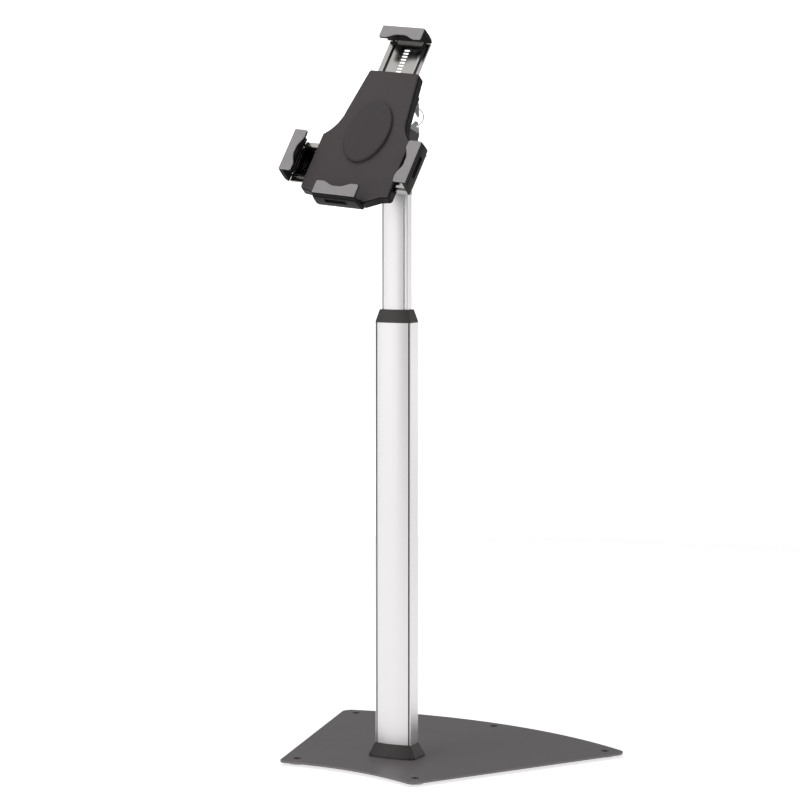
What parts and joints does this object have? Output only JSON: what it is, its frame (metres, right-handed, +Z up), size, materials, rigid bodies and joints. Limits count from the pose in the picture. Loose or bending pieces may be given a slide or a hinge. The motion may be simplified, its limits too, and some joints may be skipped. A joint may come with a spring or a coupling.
{
  "type": "tablet floor stand",
  "caption": "Adjustable floor stand with a broad base plate, telescoping column and a tilting, turning tablet holder with sliding claws, a lock and keys.",
  "frame": {"origin": "On the floor, under the axis of the column, in the plane of the five glides' undersides.", "axes": "+Z up along the column, -Y towards the base plate's hollow front edge, +X to the right as seen from the front. The base plate is symmetric about the YZ plane."},
  "size_m": [0.4736, 0.4156, 0.9837],
  "materials": {
    "base_paint": "satin powder coat",
    "glide": "smooth",
    "screw": "dark zinc",
    "bolt": "zinc plated",
    "black_plastic": "fine texture",
    "dark_plastic": "fine texture",
    "silver": "satin anodised",
    "cast_grey": "satin",
    "neck_paint": "satin",
    "pad_rubber": "matte",
    "grip_rubber": "matte",
    "rail_steel": "gloss black plating",
    "brass": "polished"
  },
  "bodies": {
    "base": {"base_plate": "base_paint", "floor_glides": "glide", "glide_screws": "screw", "pivot_washer": "glide", "pivot_pad": "glide"},
    "column": {"pivot_bolt": "bolt", "column_foot": "black_plastic", "foot_screws": "screw", "column_boot": "black_plastic", "outer_column": "silver", "column_collar": "black_plastic", "upper_guide": "glide", "clamp_insert": "bolt", "clamp_shoe": "glide"},
    "clamp_knob": {"clamp_knob": "black_plastic", "clamp_stud": "bolt"},
    "mast": {"inner_column": "silver", "lower_guide": "glide", "tilt_yoke": "cast_grey", "tilt_bolt": "bolt", "tilt_nut": "bolt", "tilt_washers": "bolt"},
    "neck": {"tilt_neck": "neck_paint", "turn_bolt": "bolt", "turn_nut": "bolt", "friction_disc": "glide"},
    "holder": {"front_plate": "dark_plastic", "back_cover": "dark_plastic", "oval_pad": "pad_rubber", "cover_screws": "screw", "bottom_claw": "dark_plastic", "bottom_pad": "grip_rubber", "lock_cylinder": "bolt", "pinion_pin": "bolt"},
    "top_claw": {"top_rail": "rail_steel", "top_claw": "dark_plastic", "top_pad": "grip_rubber"},
    "left_claw": {"left_rail": "rail_steel", "left_claw": "dark_plastic", "left_pad": "grip_rubber"},
    "right_claw": {"right_rail": "rail_steel", "right_claw": "dark_plastic", "right_pad": "grip_rubber"},
    "pinion": {"sync_pinion": "glide"},
    "key": {"lock_plug": "brass", "lock_cam": "bolt", "lock_key": "bolt"},
    "key_ring": {"key_ring": "bolt"},
    "spare_key": {"spare_key_blade": "bolt", "spare_key_head": "black_plastic"}
  },
  "joints": [
    {"name": "column_swivel", "type": "hinge", "parent": "base", "child": "column", "pos_m": [0, 0, 0.008], "axis": [0, 0, 1], "continuous": true},
    {"name": "clamp_turn", "type": "hinge", "parent": "column", "child": "clamp_knob", "pos_m": [-0.0027, 0.01486, 0.57], "axis": [-0.1788, 0.9839, 0], "range_deg": [0, 360]},
    {"name": "height_slide", "type": "slide", "parent": "column", "child": "mast", "axis": [0, 0, 1], "range_m": [-0.14, 0.27]},
    {"name": "head_tilt", "type": "hinge", "parent": "mast", "child": "neck", "pos_m": [0, 0, 0.7834], "axis": [-0.9839, -0.1788, 0], "range_deg": [-34, 46]},
    {"name": "head_turn", "type": "hinge", "parent": "neck", "child": "holder", "pos_m": [0.01267, -0.06974, 0.83121], "axis": [0.1482, -0.8157, 0.5592], "continuous": true},
    {"name": "top_slide", "type": "slide", "parent": "holder", "child": "top_claw", "axis": [0.012, 0.5669, 0.8237], "range_m": [-0.05, 0.012]},
    {"name": "left_slide", "type": "slide", "parent": "holder", "child": "left_claw", "axis": [-0.9889, -0.1154, 0.0939], "range_m": [-0.022, 0.006]},
    {"name": "right_slide", "type": "slide", "parent": "holder", "child": "right_claw", "axis": [0.9889, 0.1154, -0.0939], "range_m": [-0.022, 0.006]},
    {"name": "pinion_spin", "type": "hinge", "parent": "holder", "child": "pinion", "pos_m": [0.01321, -0.10284, 0.7962], "axis": [0.1482, -0.8157, 0.5592], "range_deg": [-125, 50]},
    {"name": "lock_turn", "type": "hinge", "parent": "holder", "child": "key", "pos_m": [0.03957, -0.0157, 0.88055], "axis": [0.1482, -0.8157, 0.5592], "range_deg": [0, 90]},
    {"name": "ring_swing", "type": "hinge", "parent": "key", "child": "key_ring", "pos_m": [0.03715, -0.00536, 0.87572], "axis": [0.9214, 0.3193, 0.2216], "range_deg": [-20, 20]},
    {"name": "spare_swing", "type": "hinge", "parent": "key_ring", "child": "spare_key", "pos_m": [0.03715, -0.00536, 0.85135], "axis": [-0.9979, 0.0645, 0], "range_deg": [-20, 20]}
  ],
  "couplings": [
    {"joint": "right_slide", "follows": "left_slide", "ratio": 1},
    {"joint": "pinion_spin", "follows": "left_slide", "rad_per_m": 80}
  ]
}
